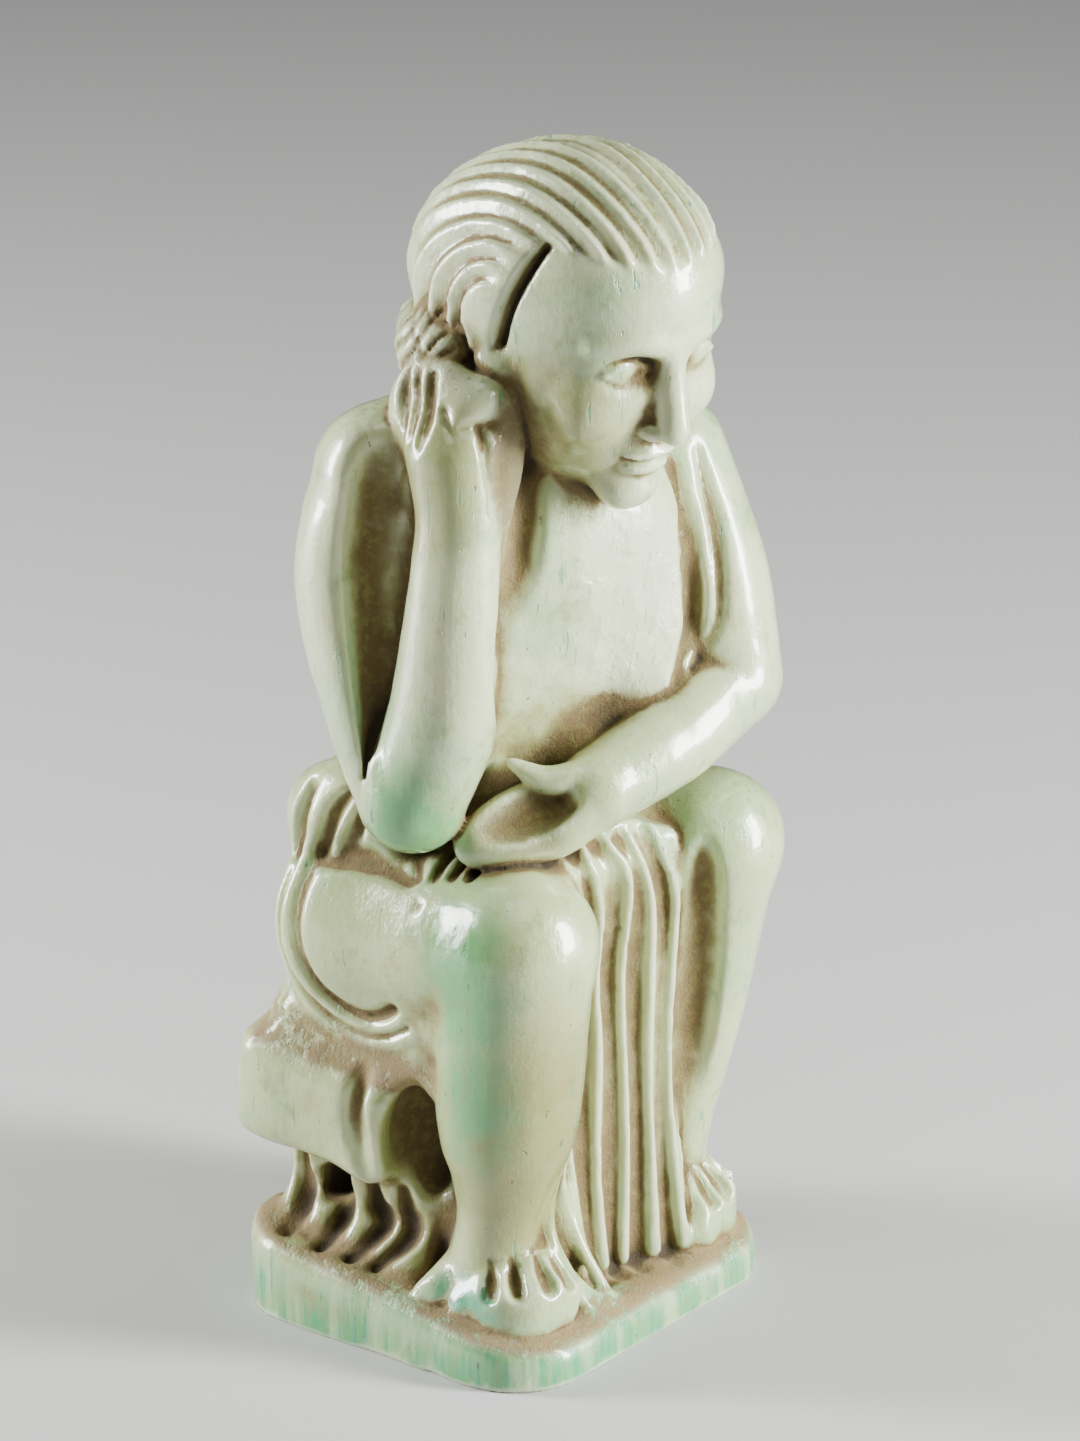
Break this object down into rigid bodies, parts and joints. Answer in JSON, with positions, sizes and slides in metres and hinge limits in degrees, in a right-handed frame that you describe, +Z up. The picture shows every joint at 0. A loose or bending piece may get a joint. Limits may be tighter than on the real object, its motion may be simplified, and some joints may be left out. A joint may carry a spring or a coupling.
{
  "type": "seated ivory figure",
  "caption": "Small ancient ivory carving of a seated man in drapery, cheek on his right hand, on a rock seat and a squared plinth; stands on its flat underside.",
  "frame": {"origin": "centre of the bounding box at the underside of the plinth", "axes": "+Z up from the underside to the crown, the figure faces -Y, its right hand is on the -X side"},
  "size_m": [0.0264, 0.0262, 0.072],
  "materials": {
    "ivory": "polished pale ivory, worn, with copper-green stains and brown earth in the recesses"
  },
  "bodies": {
    "root": {"seated_figure": "ivory"}
  },
  "joints": []
}
